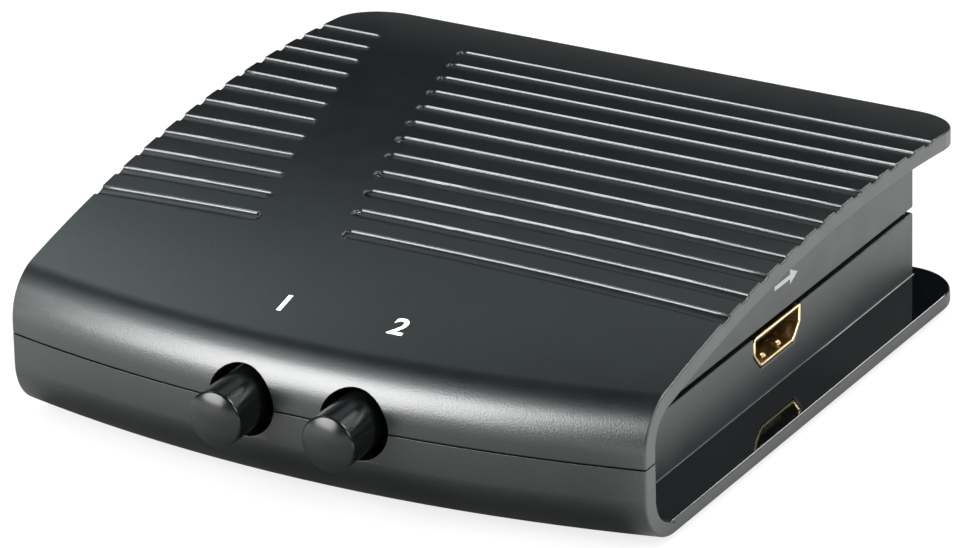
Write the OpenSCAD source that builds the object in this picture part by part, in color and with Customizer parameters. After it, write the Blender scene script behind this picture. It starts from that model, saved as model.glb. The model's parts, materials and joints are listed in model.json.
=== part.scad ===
// Two-way video switch box: a low black case whose top and bottom plates overhang a recessed body.
// Two push buttons stand in the bowed front, the output socket is in the right wall, the inputs in the left.
// Millimetres. X runs right, Y to the rear and Z up, from the middle of the footprint on the table.

/* [Case] */
// Width across the top and bottom plates
case_w = 106; // [98:1:130]
// Depth from the nose to the rear edge of the plates
case_d = 110.4; // [106:0.2:130]
// Height from the underside of the base to the highest line of the top
case_h = 30.5; // [29:0.1:36]
// Radius of the front's bow, seen from above
bow_r = 222.7; // [190:0.1:400]
// Radius of the top's long arc, seen from the side
top_arc_r = 240; // [210:1:400]
// Distance from the nose back to the highest line of the top
apex_d = 65.5; // [55:0.5:70]
// Radius of the nose, where the top turns down into the front
nose_r = 8; // [6:0.1:10]
// Radius of the front's lower edge
toe_r = 8.4; // [6:0.1:9]
// Length of the falling part of the top at the rear
rear_fall_d = 35.7; // [20:0.1:40]
// Radius of the falling part of the top
rear_fall_r = 262; // [200:1:500]
// Radius of the plates' rear corners, seen from above
corner_r = 8.5; // [3:0.1:15]
// Thickness of the top plate
top_t = 2.8; // [2.2:0.1:3.6]
// Thickness of the front wall
front_t = 3; // [2.2:0.1:4]
// Thickness of the bottom plate
floor_t = 2.2; // [1.8:0.1:3]
// Height of the joint between the two shells above the underside
split_h = 13.3; // [12.8:0.1:14.5]
// Gap between the two shells along the front
seam_gap = 0.1; // [0.05:0.05:0.3]

/* [Recessed body] */
// How far the side walls stand in from the plates' side edges
side_recess = 8.1; // [6:0.1:9]
// How far the rear wall stands in from the plates' rear edge
rear_recess = 2.9; // [2:0.1:5]
// Thickness of the side and rear walls
wall_t = 2; // [1.6:0.1:2.6]
// Shadow gap between the upper and lower halves of the side and rear walls
shadow_gap = 0.85; // [0.4:0.05:1.2]
// Height of the lower shell's locating lip above the joint
lip_h = 1.5; // [1:0.1:2.5]
// Thickness of the locating lip
lip_t = 0.9; // [0.6:0.1:1.2]
// Clearance round the locating lip
lip_clear = 0.15; // [0.1:0.05:0.25]

/* [Grooves] */
// Number of grooves from front to rear
groove_count = 12; // [4:1:12]
// Distance from one groove to the next
groove_pitch = 5.93; // [4:0.01:6]
// Width of a groove
groove_w = 2.4; // [1.5:0.1:3]
// Depth of a groove
groove_depth = 0.5; // [0.3:0.1:1.2]
// Distance from the nose back to the middle of the first groove
groove_start = 31.2; // [26:0.1:34]
// Width of the plain band between the two groups of grooves
band_w = 13.8; // [8:0.1:20]
// Middle of the plain band at the first groove, from the case's middle
band_x = -17.6; // [-22:0.1:10]
// Sideways lean of the plain band for each millimetre towards the rear
band_lean = -0.268; // [-0.3:0.001:0.3]

/* [Buttons] */
// Distance between the two button axes
button_pitch = 18.8; // [17:0.2:24]
// Sideways shift of the pair of buttons from the case's middle
button_shift = -0.5; // [-2:0.1:2]
// Height of the button axes above the joint between the two shells
button_rise = 0.5; // [0:0.1:1]
// Diameter of a button cap
button_d = 8.7; // [7:0.1:10]
// Clearance between a cap and its hole, all round
button_clear = 1.15; // [0.4:0.05:1.5]
// Length of a button cap
button_l = 15; // [13:0.1:18]
// How far a cap stands out from the nose
button_proud = 8.1; // [6:0.1:10]
// How far a cap can be pushed in
button_travel = 3; // [1.5:0.1:4]
// Radius of a cap's domed face
button_dome_r = 12; // [10:0.5:40]
// Rounding of a cap's front edge
button_edge_r = 0.5; // [0.3:0.1:1.5]
// Room between a cap that is pushed in and the switch behind it
button_room = 2; // [0.5:0.1:3]

/* [Switches] */
// Width of a switch housing
switch_w = 12; // [11:0.1:14]
// Height of a switch housing above the button's axis
switch_crown = 4.1; // [4:0.1:6]
// Thickness of a housing's sides and roof
switch_wall = 0.8; // [0.6:0.1:1.2]
// Thickness of a housing's front wall
switch_face_t = 1.5; // [1:0.1:2.5]
// Thickness of a housing's floor
switch_floor_t = 1.2; // [0.8:0.1:1.6]
// Thickness of a housing's rear cover
switch_cover_t = 1.2; // [0.8:0.1:2]
// Length of the slider inside a housing
slider_l = 6; // [5:0.1:8]
// Clearance round the slider
slider_clear = 0.2; // [0.1:0.05:0.3]
// Gap between the slider and its stop at rest
stop_gap = 0.05; // [0.02:0.01:0.2]
// Gap left behind the slider when it is pushed in
end_room = 0.4; // [0.2:0.1:1]
// Width of the square stem that carries the cap
stem_w = 3.6; // [3:0.1:4.5]
// Clearance round the stem in the housing's front wall
stem_clear = 0.15; // [0.1:0.05:0.3]
// Length of the stem inside the cap
stem_seat = 6; // [4:0.1:8]
// Clearance round the stem inside the cap
stem_fit = 0.05; // [0.02:0.01:0.1]
// Mean diameter of a return spring
spring_d = 4; // [3.6:0.1:4.4]
// Diameter of the spring wire
spring_wire = 0.5; // [0.3:0.05:0.6]
// Turns of a return spring
spring_turns = 5; // [3:1:5]
// Depth of the spring's seat in the slider
spring_seat = 3.5; // [2.5:0.1:4]
// Clearance round a spring and at its ends
spring_clear = 0.3; // [0.2:0.05:0.4]
// Length of the post that centres a spring
spring_post_l = 2.5; // [1:0.1:3]
// Thickness of the bridging contact under a slider
bridge_t = 0.3; // [0.2:0.05:0.5]
// Length of the bridging contact
bridge_l = 3.4; // [2:0.1:5]
// Width of the bridging contact
bridge_w = 7; // [6:0.1:8]
// Gap between the bridging contact and the terminals
bridge_gap = 0.1; // [0.05:0.05:0.2]
// Diameter of a terminal pin
terminal_d = 0.8; // [0.5:0.1:1]
// Number of terminal pins in each row
terminal_count = 3; // [2:1:3]
// Distance between terminal pins along a switch
terminal_pitch = 2.5; // [2:0.1:2.8]
// Distance between the two rows of terminal pins
terminal_rows = 5; // [4:0.1:5.5]
// Clearance round a pin or leg in its hole
pin_clear = 0.1; // [0.05:0.05:0.2]
// Length of a pin or leg below the board
pin_tail = 1.2; // [0.5:0.1:1.5]

/* [Sockets] */
// Width of a socket's opening
socket_w = 14; // [13:0.1:15]
// Height of a socket's opening
socket_h = 4.55; // [4.3:0.05:4.8]
// Width of the cut-off lower corners of the opening
socket_cut_w = 1.9; // [1:0.1:2.5]
// Height of the cut-off lower corners of the opening
socket_cut_h = 2.1; // [1:0.1:2.5]
// Thickness of a socket's sheet metal shell
socket_t = 0.35; // [0.25:0.05:0.5]
// Depth of a socket's shell
socket_d = 11.5; // [10:0.1:13]
// Height of a socket's middle above the underside
socket_rise = 9.67; // [9.4:0.01:10]
// Clearance round a socket in the wall
socket_clear = 0.25; // [0.15:0.05:0.4]
// Distance of the output's middle ahead of the plates' rear edge
output_back = 47.8; // [40:0.1:60]
// Distance of the front input's middle ahead of the plates' rear edge
input_1_back = 64.5; // [58:0.1:68]
// Distance of the rear input's middle ahead of the plates' rear edge
input_2_back = 31.5; // [30:0.1:38]
// Thickness of the insert's back block
insert_back = 3; // [2:0.1:4]
// Clearance between an insert and its shell
insert_clear = 0.05; // [0.02:0.01:0.1]
// Width of an insert's tongue
tongue_w = 11.2; // [10.6:0.1:12]
// Thickness of an insert's tongue
tongue_t = 1.1; // [0.8:0.1:1.4]
// Height of the tongue's middle above the opening's middle
tongue_rise = 0.45; // [0.2:0.05:0.6]
// Distance of the tongue's tip behind the mouth
tongue_back = 2.2; // [0.5:0.1:3]
// Distance between contacts in a row
contact_pitch = 1; // [0.9:0.01:1]
// Number of contacts in the upper row, one more than in the lower
contact_count = 10; // [8:1:10]
// Width of a contact
contact_w = 0.45; // [0.3:0.05:0.6]
// Thickness of a contact
contact_t = 0.15; // [0.1:0.05:0.25]
// Distance of the contacts' tips behind the tongue's tip
contact_back = 0.6; // [0.3:0.1:1.5]
// Width of a shell's leg
leg_w = 1.2; // [0.8:0.1:1.5]
// Distance of the front legs behind the mouth
leg_front = 4.6; // [4.5:0.1:5.5]
// Distance of the rear legs behind the mouth
leg_rear = 9; // [7.5:0.1:9.2]

/* [Board] */
// Thickness of the circuit board
board_t = 1.6; // [1:0.1:1.8]
// Clearance between the board and what stands beside it
board_clear = 0.5; // [0.3:0.1:1]
// Distance of a board screw from the board's edge
board_hole_inset = 3.5; // [3:0.1:4.5]
// Distance between the rear board screws
board_rear_pitch = 50; // [46:0.5:52]
// Width of the switching chip
chip_w = 10; // [8:0.5:12]
// Height of the switching chip above its seat
chip_h = 1.2; // [0.8:0.1:2]
// Gap between the chip and the board
chip_gap = 0.1; // [0.05:0.05:0.2]
// Number of leads on each side of the chip
lead_count = 8; // [4:1:8]
// Distance between leads
lead_pitch = 1; // [0.8:0.05:1]
// Width of a lead
lead_w = 0.4; // [0.2:0.05:0.5]
// Thickness of a lead
lead_t = 0.2; // [0.1:0.05:0.3]
// Reach of a lead beyond the chip
lead_reach = 1; // [0.6:0.1:1.5]
// Diameter of a can capacitor
can_d = 5; // [4:0.1:6.3]
// Height of a can capacitor above its base
can_h = 5; // [4:0.1:6]
// Thickness of a can capacitor's base
can_base_t = 0.8; // [0.5:0.1:1.2]
// Distance between can capacitors
can_pitch = 9; // [8:0.1:11]
// Number of can capacitors
can_count = 3; // [1:1:3]
// Length of a chip resistor
resistor_l = 1.6; // [1:0.1:2]
// Width of a chip resistor
resistor_w = 0.8; // [0.5:0.1:1.2]
// Height of a chip resistor
resistor_h = 0.5; // [0.3:0.05:0.7]
// Distance between chip resistors
resistor_pitch = 2.4; // [2.2:0.1:3]
// Number of chip resistors
resistor_count = 8; // [2:1:8]
// Gap between the chip's leads and the resistors
resistor_gap = 2.5; // [1:0.1:4]

/* [Screws and feet] */
// Diameter of a case screw
case_screw_d = 2.9; // [2.5:0.1:3.5]
// Diameter of a case screw's head
case_head_d = 5.4; // [5:0.1:5.8]
// Height of a case screw's head
case_head_h = 1.8; // [1.2:0.1:2]
// Length of a case screw below its head
case_screw_l = 11; // [8:0.1:12]
// Height of a case screw's seat above the underside
case_seat_h = 4; // [3.5:0.1:5]
// Thickness of the boss round a case screw
boss_wall = 1.4; // [1.2:0.1:1.6]
// Height of the lower shell's screw bosses above the underside
boss_h = 8; // [7:0.1:9]
// Gap between the bosses of the two shells
boss_gap = 0.1; // [0.05:0.05:0.3]
// Distance of a case screw from the plates' side edge
case_screw_side = 17; // [16.5:0.1:18]
// Distance of the front case screws behind the nose
case_screw_front = 24; // [23:0.1:26]
// Distance of the rear case screws ahead of the plates' rear edge
case_screw_rear = 14.5; // [13:0.1:15]
// Diameter of a board screw
board_screw_d = 2; // [1.6:0.1:2.5]
// Diameter of a board screw's head
board_head_d = 3.8; // [3.2:0.1:4.2]
// Height of a board screw's head
board_head_h = 1.4; // [0.8:0.1:1.8]
// Length of a board screw below its head
board_screw_l = 4.6; // [4:0.1:5]
// Diameter of the posts that carry the board
post_d = 5; // [4.5:0.1:5.5]
// Clearance round a screw in its hole
screw_clear = 0.05; // [0.02:0.01:0.1]
// Clearance round a case screw's head in its recess
head_clear = 0.2; // [0.1:0.05:0.4]
// Width of the slots in the screw heads
drive_w = 0.7; // [0.5:0.1:1]
// Depth of the slots in the screw heads
drive_depth = 0.8; // [0.4:0.1:0.8]
// Diameter of a foot
foot_d = 9; // [7:0.1:9.4]
// How far a foot stands out below the base
foot_proud = 1; // [0.5:0.1:2]
// Depth of a foot's well in the base
foot_well = 0.6; // [0.3:0.1:0.9]
// Clearance round a foot in its well
foot_clear = 0.15; // [0.1:0.05:0.3]
// Distance of a foot from the plates' side edge
foot_side = 10; // [9:0.1:10]
// Distance of the front feet behind the nose
foot_front = 19; // [18.5:0.1:19]
// Distance of the rear feet ahead of the plates' rear edge
foot_rear = 9; // [8:0.1:9]

/* [Hidden] */

// Fineness of round faces, of the case's long bow, and steps along an arc in a section
$fn = 48;
fine = 180;
arc_steps = 12;
// Overshoot of a cut past the face it opens
past = 1;

// Planes and lines of the case
rear_y = (case_d + button_proud) / 2;
nose_y = rear_y - case_d;
bow_y = nose_y + bow_r;
under_z = foot_proud;
floor_z = under_z + floor_t;
split_z = under_z + split_h;
top_z = under_z + case_h;
apex_r = bow_r - apex_d;
arc_z = top_z - top_arc_r;
fall_y = rear_y - rear_fall_d;
fall_z = top_z - rear_fall_r;
body_x = case_w / 2 - side_recess;
body_y = rear_y - rear_recess;
room_x = body_x - wall_t;
room_y = body_y - wall_t;
lip_front_y = nose_y + front_t + toe_r;

// Sockets: [side of the case, middle along Y]
output_place = [1, rear_y - output_back];
input_1_place = [-1, rear_y - input_1_back];
input_2_place = [-1, rear_y - input_2_back];
socket_places = [output_place, input_1_place, input_2_place];
socket_z = under_z + socket_rise;
leg_places = [leg_front, leg_rear];

// Board
board_top_z = socket_z - socket_h / 2 - socket_t;
board_z = board_top_z - board_t;
board_x = room_x - board_clear;

// Buttons and switches
button_x = [button_shift - button_pitch / 2, button_shift + button_pitch / 2];
button_z = split_z + button_rise;
cap_front_y = nose_y - button_proud;
cap_rear_y = cap_front_y + button_l;
switch_y = cap_rear_y + button_travel + button_room;
chamber_y = switch_y + switch_face_t;
slider_y = chamber_y + stop_gap;
slider_rear_y = slider_y + slider_l;
switch_rear_y = slider_rear_y + button_travel + end_room;
chamber_x = switch_w / 2 - switch_wall;
chamber_z = board_top_z + switch_floor_t;
chamber_top_z = button_z + switch_crown - switch_wall;
slider_z = chamber_z + bridge_gap + bridge_t;
slider_top_z = chamber_top_z - slider_clear;
bridge_y = slider_y + bridge_l / 2;
terminal_y = [for (i = [0 : terminal_count - 1]) chamber_y + terminal_d + i * terminal_pitch];

// Screws and feet
case_screw_x = case_w / 2 - case_screw_side;
case_screw_y = [nose_y + case_screw_front, rear_y - case_screw_rear];
case_seat_z = under_z + case_seat_h;
boss_z = under_z + boss_h;
case_head_r = case_head_d / 2 + head_clear;
boss_r = case_head_r + boss_wall;
pilot_r = case_screw_d / 2 + screw_clear;
upper_boss_r = pilot_r + boss_wall;
foot_x = case_w / 2 - foot_side;
foot_y = [nose_y + foot_front, rear_y - foot_rear];

// Board outline, clear of the case screws' bosses
board_front_y = switch_y - board_clear;
board_wide_y = case_screw_y[0] + boss_r + board_clear;
board_rear_y = case_screw_y[1] - boss_r - board_clear;
board_hole_x = button_pitch / 2 + abs(button_shift) + switch_w / 2 + board_hole_inset + board_clear;
board_neck_x = board_hole_x + board_hole_inset;
board_holes = [
    [-board_hole_x, board_front_y + board_hole_inset],
    [board_hole_x, board_front_y + board_hole_inset],
    [-board_rear_pitch / 2, board_rear_y - board_hole_inset],
    [board_rear_pitch / 2, board_rear_y - board_hole_inset]
];
chip_y = (board_wide_y + board_rear_y) / 2;

// Points along an arc, from one angle to another
function arc(c, r, from, to, steps) =
    [for (i = [0 : steps]) let (a = from + (to - from) * i / steps) c + r * [cos(a), sin(a)]];

// Centre of a rounded shoulder of radius r at a straight edge, under an arc of radius big about mid
function shoulder_at(edge, r, big, mid) =
    [edge - r, mid[1] + sqrt(pow(big - r, 2) - pow(edge - r - mid[0], 2))];

// Points up a straight edge, round its shoulder and along the arc to its highest point
function shoulder(edge, r, big, mid) =
    let (
        c = shoulder_at(edge, r, big, mid),
        turn = atan2(c[1] - mid[1], c[0] - mid[0]),
        along = arc(mid, big, turn, 90, arc_steps)
    )
    concat(arc(c, r, 0, turn, arc_steps), [for (i = [1 : arc_steps]) along[i]]);

// Section of the case from the bow's axis to the front, with its walls set in by the given thicknesses
module case_section(front, top, bottom) {
    edge = bow_r - front;
    toe = toe_r - front;
    low = under_z + bottom;
    polygon(concat(
        [[0, low]],
        arc([edge - toe, low + toe], toe, -90, 0, arc_steps),
        shoulder(edge, nose_r - front, top_arc_r - top, [apex_r, arc_z]),
        [[0, top_z - top]]
    ));
}

// Side view of the space under the top, flat ahead of the falling part
module fall_section(top) {
    reach = rear_fall_d + past;
    r = rear_fall_r - top;
    polygon(concat(
        [[fall_y + reach, 0], [nose_y - past, 0], [nose_y - past, top_z - top]],
        arc([fall_y, fall_z], r, 90, acos(reach / r), arc_steps)
    ));
}

// The case's outer form without its sides and rear, or the same form set in by wall thicknesses
module case_form(front, top, bottom) {
    intersection() {
        translate([0, bow_y, 0]) rotate_extrude($fn = fine) case_section(front, top, bottom);
        translate([-case_w, 0, 0]) rotate([90, 0, 90]) linear_extrude(case_w * 2) fall_section(top);
    }
}

// Outline of the plates from above, open ahead of the nose
module plate_outline() {
    front = nose_y - past;
    translate([-case_w / 2, front]) square([case_w, rear_y - corner_r - front]);
    translate([corner_r - case_w / 2, front]) square([case_w - 2 * corner_r, rear_y - front]);
    for (side = [-1, 1])
        translate([side * (case_w / 2 - corner_r), rear_y - corner_r]) circle(corner_r);
}

// Box from one corner to the opposite one
module block(low, high) {
    translate(low) cube(high - low);
}

// Upright round bar
module rod(r, low, high) {
    translate([0, 0, low]) cylinder(r = r, h = high - low);
}

// Pockets between the plates at both sides and at the rear
module plate_pockets() {
    difference() {
        case_form(front_t, top_t, floor_t);
        block([-body_x, nose_y, 0], [body_x, body_y, top_z]);
    }
}

// The room inside the case
module case_room() {
    intersection() {
        case_form(front_t, top_t, floor_t);
        block([-room_x, nose_y, 0], [room_x, room_y, top_z]);
    }
}

// Lip of the lower shell that locates the side and rear walls, grown by a clearance
module locating_lip(clear, low) {
    outer_x = room_x + lip_t + clear;
    outer_y = room_y + lip_t + clear;
    difference() {
        block([-outer_x, lip_front_y - clear, low], [outer_x, outer_y, split_z + lip_h + clear]);
        block([-room_x, nose_y, 0], [room_x, room_y, top_z]);
    }
}

// Holes for the button caps
module button_holes() {
    for (x = button_x)
        translate([x, nose_y - past, button_z])
            rotate([-90, 0, 0]) cylinder(d = button_d + 2 * button_clear, h = front_t * 2 + past);
}

// Places of the four case screws and of the four feet
module at_case_screws() {
    for (side = [-1, 1], y = case_screw_y)
        translate([side * case_screw_x, y, 0]) children();
}
module at_feet() {
    for (side = [-1, 1], y = foot_y)
        translate([side * foot_x, y, 0]) children();
}
module at_board_screws() {
    for (p = board_holes)
        translate([p[0], p[1], 0]) children();
}

// Grooves in the top, open at the plates' side edges and round at the plain band
module grooves() {
    r = groove_w / 2;
    difference() {
        linear_extrude(top_z + past)
            for (i = [0 : groove_count - 1]) {
                y = nose_y + groove_start + i * groove_pitch;
                middle = band_x + band_lean * i * groove_pitch;
                left = middle - band_w / 2 - r;
                right = middle + band_w / 2 + r;
                translate([-case_w / 2 - past, y - r]) square([left + case_w / 2 + past, groove_w]);
                translate([left, y]) circle(r);
                translate([right, y - r]) square([case_w / 2 + past - right, groove_w]);
                translate([right, y]) circle(r);
            }
        case_form(groove_depth, groove_depth, 0);
    }
}

module top_cover() color([0.07, 0.07, 0.075]) {
    difference() {
        intersection() {
            case_form(0, 0, 0);
            translate([0, 0, split_z]) linear_extrude(top_z) plate_outline();
        }
        case_room();
        plate_pockets();
        locating_lip(lip_clear, 0);
        button_holes();
        grooves();
    }
    difference() {
        intersection() {
            at_case_screws() rod(upper_boss_r, boss_z + boss_gap, top_z);
            case_form(front_t / 2, top_t / 2, 0);
        }
        at_case_screws() rod(pilot_r, 0, case_seat_z + case_screw_l + past);
    }
}

// Opening in the lower shell's wall for a socket, open at the top
module socket_opening(place) {
    half_w = socket_w / 2 + socket_t + socket_clear;
    at_socket(place) {
        socket_prism(socket_t + socket_clear, -wall_t * 2, past);
        block([-wall_t * 2, -half_w, 0], [past, half_w, case_h]);
    }
}

module base_cover() color([0.06, 0.06, 0.065]) {
    wall_top_z = split_z - shadow_gap;
    difference() {
        union() {
            difference() {
                intersection() {
                    case_form(0, 0, 0);
                    linear_extrude(split_z - seam_gap) plate_outline();
                }
                case_room();
                plate_pockets();
                difference() {
                    block([-body_x - past, lip_front_y, wall_top_z], [body_x + past, body_y + past, top_z]);
                    block([-room_x, nose_y, 0], [room_x, room_y, top_z]);
                }
            }
            locating_lip(0, wall_top_z - past);
            at_case_screws() rod(boss_r, under_z, boss_z);
            at_board_screws() rod(post_d / 2, under_z, board_z);
        }
        for (place = socket_places) socket_opening(place);
        button_holes();
        at_case_screws() rod(case_head_r, 0, case_seat_z);
        at_case_screws() rod(pilot_r, 0, boss_z + past);
        at_board_screws() rod(board_screw_d / 2 + screw_clear, board_top_z - board_screw_l - screw_clear, top_z);
        at_feet() rod(foot_d / 2 + foot_clear, 0, under_z + foot_well);
    }
}

module rubber_feet() color([0.03, 0.03, 0.03]) {
    at_feet() rod(foot_d / 2, 0, under_z + foot_well);
}

// Screw with a slotted head: shank from the seat in the direction way, 1 for up and -1 for down
module screw(shank_d, shank_l, head_d, head_h, seat, way) {
    translate([0, 0, seat]) mirror([0, 0, way > 0 ? 0 : 1]) difference() {
        union() {
            rod(shank_d / 2, 0, shank_l);
            rod(head_d / 2, -head_h, 0);
        }
        block([-head_d, -drive_w / 2, -head_h - past], [head_d, drive_w / 2, drive_depth - head_h]);
    }
}

module case_screws() color([0.55, 0.55, 0.57]) {
    at_case_screws() screw(case_screw_d, case_screw_l, case_head_d, case_head_h, case_seat_z, 1);
}

module board_screws() color([0.6, 0.6, 0.6]) {
    at_board_screws() screw(board_screw_d, board_screw_l, board_head_d, board_head_h, board_top_z, -1);
}

// Legs of a socket's shell, grown by a clearance
module socket_legs(clear, low, high) {
    edge = socket_w / 2 + socket_t;
    for (side = [-1, 1], x = leg_places) {
        y = side * (edge - socket_t / 2);
        block([-x - leg_w / 2 - clear, y - socket_t / 2 - clear, low],
            [-x + leg_w / 2 + clear, y + socket_t / 2 + clear, high]);
    }
}

module main_board() color([0.05, 0.25, 0.12]) {
    pin_r = terminal_d / 2 + pin_clear;
    difference() {
        union() {
            block([-board_x, board_wide_y, board_z], [board_x, board_rear_y, board_top_z]);
            block([-board_neck_x, board_front_y, board_z], [board_neck_x, board_wide_y + past, board_top_z]);
        }
        at_board_screws() rod(board_screw_d / 2 + screw_clear, 0, top_z);
        for (x = button_x) at_terminals(x) rod(pin_r, 0, top_z);
        for (place = socket_places) at_socket(place) socket_legs(pin_clear, -case_h, case_h);
    }
}

module switch_chip() color([0.05, 0.05, 0.05]) {
    low = board_top_z + chip_gap;
    block([-chip_w / 2, chip_y - chip_w / 2, low], [chip_w / 2, chip_y + chip_w / 2, low + chip_h]);
}

// One lead: from the chip's side out, down and along the board
module chip_lead() {
    mid = chip_gap + chip_h / 2;
    knee = lead_reach / 2;
    rotate([90, 0, 0]) translate([chip_w / 2, 0, -lead_w / 2]) linear_extrude(lead_w) polygon([
        [0, mid], [knee - lead_t, mid], [knee - lead_t, 0], [lead_reach, 0],
        [lead_reach, lead_t], [knee, lead_t], [knee, mid + lead_t], [0, mid + lead_t]
    ]);
}

module chip_leads() color([0.75, 0.75, 0.72]) {
    translate([0, chip_y, board_top_z])
        for (turn = [0 : 90 : 270], i = [0 : lead_count - 1])
            rotate(turn) translate([0, (i - (lead_count - 1) / 2) * lead_pitch, 0]) chip_lead();
}

module capacitors() color([0.7, 0.7, 0.72]) {
    for (i = [0 : can_count - 1])
        translate([(i - (can_count - 1) / 2) * can_pitch, board_rear_y - can_d, board_top_z]) {
            block([-can_d / 2, -can_d / 2, 0], [can_d / 2, can_d / 2, can_base_t]);
            rod(can_d / 2, 0, can_base_t + can_h);
        }
}

module resistors() color([0.12, 0.12, 0.14]) {
    y = chip_y - chip_w / 2 - lead_reach - resistor_gap - resistor_l;
    for (i = [0 : resistor_count - 1]) {
        x = (i - (resistor_count - 1) / 2) * resistor_pitch;
        block([x - resistor_w / 2, y, board_top_z], [x + resistor_w / 2, y + resistor_l, board_top_z + resistor_h]);
    }
}

// Socket frame: the mouth's middle at the origin, the mouth facing outwards along local X
module at_socket(place) {
    translate([place[0] * body_x, place[1], socket_z]) rotate(place[0] > 0 ? 0 : 180) children();
}

// Outline of a socket's opening, grown all round by t
module socket_outline(t) {
    slant = norm([socket_cut_w, socket_cut_h]);
    side = socket_w / 2 + t;
    top = socket_h / 2 + t;
    corner_z = socket_cut_h - socket_h / 2 - t * (slant - socket_cut_h) / socket_cut_w;
    corner_y = socket_w / 2 - socket_cut_w + t * (slant - socket_cut_w) / socket_cut_h;
    polygon([
        [side, top], [-side, top], [-side, corner_z], [-corner_y, -top], [corner_y, -top], [side, corner_z]
    ]);
}

module socket_prism(t, from, to) {
    translate([from, 0, 0]) rotate([90, 0, 90]) linear_extrude(to - from) socket_outline(t);
}

module socket_shell(place) color([0.83, 0.63, 0.25]) at_socket(place) {
    difference() {
        socket_prism(socket_t, -socket_d, 0);
        socket_prism(0, -socket_d - past, past);
    }
    socket_legs(0, board_z - pin_tail - socket_z, socket_h / 2);
}

module socket_insert(place) color([0.03, 0.03, 0.03]) at_socket(place) {
    socket_prism(-insert_clear, -socket_d, insert_back - socket_d);
    block([insert_back - socket_d - past, -tongue_w / 2, tongue_rise - tongue_t / 2],
        [-tongue_back, tongue_w / 2, tongue_rise + tongue_t / 2]);
}

module socket_contacts(place) color([0.9, 0.72, 0.3]) at_socket(place) {
    root = insert_back - socket_d;
    tip = -tongue_back - contact_back;
    for (row = [0, 1], i = [0 : contact_count - 1 - row]) {
        y = (i - (contact_count - 1 - row) / 2) * contact_pitch;
        z = row == 0 ? tongue_rise + tongue_t / 2 : tongue_rise - tongue_t / 2 - contact_t;
        block([root, y - contact_w / 2, z], [tip, y + contact_w / 2, z + contact_t]);
    }
}

module output_shell() socket_shell(output_place);
module output_insert() socket_insert(output_place);
module output_contacts() socket_contacts(output_place);
module input_1_shell() socket_shell(input_1_place);
module input_1_insert() socket_insert(input_1_place);
module input_1_contacts() socket_contacts(input_1_place);
module input_2_shell() socket_shell(input_2_place);
module input_2_insert() socket_insert(input_2_place);
module input_2_contacts() socket_contacts(input_2_place);

// Round cap with a domed, round-edged face and a square seat for the stem
module button_cap(x) color([0.05, 0.05, 0.055]) {
    seat = stem_w / 2 + stem_fit;
    translate([x, cap_rear_y, button_z]) difference() {
        rotate([90, 0, 0]) rotate_extrude() polygon(concat(
            [[0, 0], [button_d / 2, 0]],
            shoulder(button_d / 2, button_edge_r, button_dome_r, [0, button_l - button_dome_r])
        ));
        block([-seat, -stem_seat - stem_fit, -seat], [seat, past, seat]);
    }
}

// Square stem on a slider that runs in the housing, bored at the rear for the spring
module button_plunger(x) color([0.85, 0.85, 0.82]) {
    half = chamber_x - slider_clear;
    translate([x, 0, 0]) difference() {
        union() {
            block([-stem_w / 2, cap_rear_y - stem_seat, button_z - stem_w / 2],
                [stem_w / 2, slider_y + past, button_z + stem_w / 2]);
            block([-half, slider_y, slider_z], [half, slider_rear_y, slider_top_z]);
        }
        translate([0, slider_rear_y - spring_seat, button_z]) rotate([-90, 0, 0])
            cylinder(d = spring_d + spring_wire + 2 * spring_clear, h = spring_seat + past);
    }
}

module button_contact(x) color([0.85, 0.65, 0.3]) {
    block([x - bridge_w / 2, bridge_y - bridge_l / 2, slider_z - bridge_t],
        [x + bridge_w / 2, bridge_y + bridge_l / 2, slider_z]);
}

// Places of a switch's terminal pins
module at_terminals(x) {
    for (side = [-1, 1], y = terminal_y)
        translate([x + side * terminal_rows / 2, y, 0]) children();
}

// Box open at the rear, with a square hole in its front wall for the stem
module switch_housing(x) color([0.12, 0.12, 0.13]) {
    hole = stem_w / 2 + stem_clear;
    difference() {
        block([x - switch_w / 2, switch_y, board_top_z], [x + switch_w / 2, switch_rear_y, button_z + switch_crown]);
        block([x - chamber_x, chamber_y, chamber_z], [x + chamber_x, switch_rear_y + past, chamber_top_z]);
        block([x - hole, switch_y - past, button_z - hole], [x + hole, chamber_y + past, button_z + hole]);
        at_terminals(x) rod(terminal_d / 2 + pin_clear / 2, 0, chamber_z + past);
    }
}

// Plate behind the housing, with the post that centres the spring
module switch_cover(x) color([0.14, 0.14, 0.15]) {
    post_r = (spring_d - spring_wire) / 2 - spring_clear;
    rear = switch_rear_y + switch_cover_t;
    block([x - switch_w / 2, switch_rear_y, board_top_z], [x + switch_w / 2, rear, button_z + switch_crown]);
    translate([x, switch_rear_y - spring_post_l, button_z]) rotate([-90, 0, 0])
        cylinder(r = post_r, h = spring_post_l + past / 2);
}

module switch_terminals(x) color([0.8, 0.78, 0.7]) {
    at_terminals(x) rod(terminal_d / 2, board_z - pin_tail, chamber_z);
}

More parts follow.
